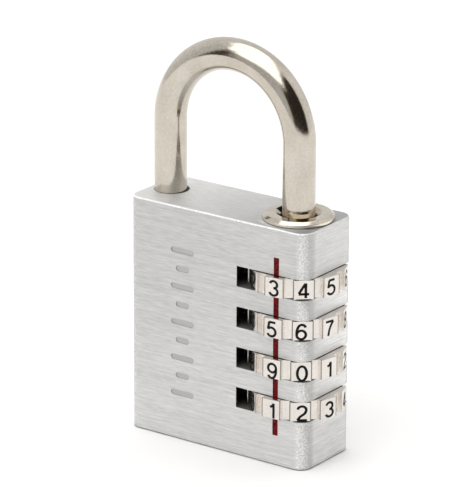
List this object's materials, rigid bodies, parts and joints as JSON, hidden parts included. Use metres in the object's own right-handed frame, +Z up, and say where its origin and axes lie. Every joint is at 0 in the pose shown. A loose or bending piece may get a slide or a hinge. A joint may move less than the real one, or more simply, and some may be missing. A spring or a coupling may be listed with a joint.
{
  "type": "combination padlock",
  "caption": "Rectangular aluminium combination padlock with a round shackle, a flanged heel bushing and numbered dials set in slots through one side.",
  "frame": {"origin": "centre of the body's flat base face", "axes": "+Z up through the shackle, +X from the toe leg to the heel leg, -Y the face that the numbers are read on"},
  "size_m": [0.0421, 0.018, 0.0771],
  "materials": {
    "body_aluminium": "brushed along X on the broad faces, satin on the rounded corners",
    "nickel_bar": "polished nickel plate over hardened steel",
    "nickel_bushing": "polished nickel plate over turned steel",
    "dial_metal": "satin nickel plate with black filled numerals",
    "sleeve_brass": "as machined",
    "spring_steel": "bare spring steel",
    "pin_steel": "ground steel",
    "index_enamel": "red enamel wiped into the groove"
  },
  "bodies": {
    "case": {"lock_body": "body_aluminium", "shackle_bushing": "nickel_bushing", "index_line": "index_enamel", "detent_rod": "pin_steel", "clutch_spring": "spring_steel", "shackle_spring": "spring_steel", "detent_spring_1": "spring_steel", "detent_spring_2": "spring_steel", "detent_spring_3": "spring_steel", "detent_spring_4": "spring_steel"},
    "shackle_group": {"shackle": "nickel_bar", "locking_comb": "pin_steel", "setting_pin": "pin_steel"},
    "dial_group_1": {"dial_1": "dial_metal", "sleeve_1": "sleeve_brass"},
    "dial_group_2": {"dial_2": "dial_metal", "sleeve_2": "sleeve_brass"},
    "dial_group_3": {"dial_3": "dial_metal", "sleeve_3": "sleeve_brass"},
    "dial_group_4": {"dial_4": "dial_metal", "sleeve_4": "sleeve_brass"}
  },
  "joints": [
    {"name": "shackle_lift", "type": "slide", "parent": "case", "child": "shackle_group", "axis": [0, 0, 1], "range_m": [0, 0.007], "deforming": ["shackle_spring"]},
    {"name": "dial_1_turn", "type": "hinge", "parent": "case", "child": "dial_group_1", "pos_m": [0.013, 0, 0.01137], "axis": [0, 0, 1], "continuous": true, "deforming": ["detent_spring_1"]},
    {"name": "dial_2_turn", "type": "hinge", "parent": "case", "child": "dial_group_2", "pos_m": [0.013, 0, 0.01923], "axis": [0, 0, 1], "continuous": true, "deforming": ["detent_spring_2"]},
    {"name": "dial_3_turn", "type": "hinge", "parent": "case", "child": "dial_group_3", "pos_m": [0.013, 0, 0.0271], "axis": [0, 0, 1], "continuous": true, "deforming": ["detent_spring_3"]},
    {"name": "dial_4_turn", "type": "hinge", "parent": "case", "child": "dial_group_4", "pos_m": [0.013, 0, 0.03495], "axis": [0, 0, 1], "continuous": true, "deforming": ["detent_spring_4"]}
  ]
}
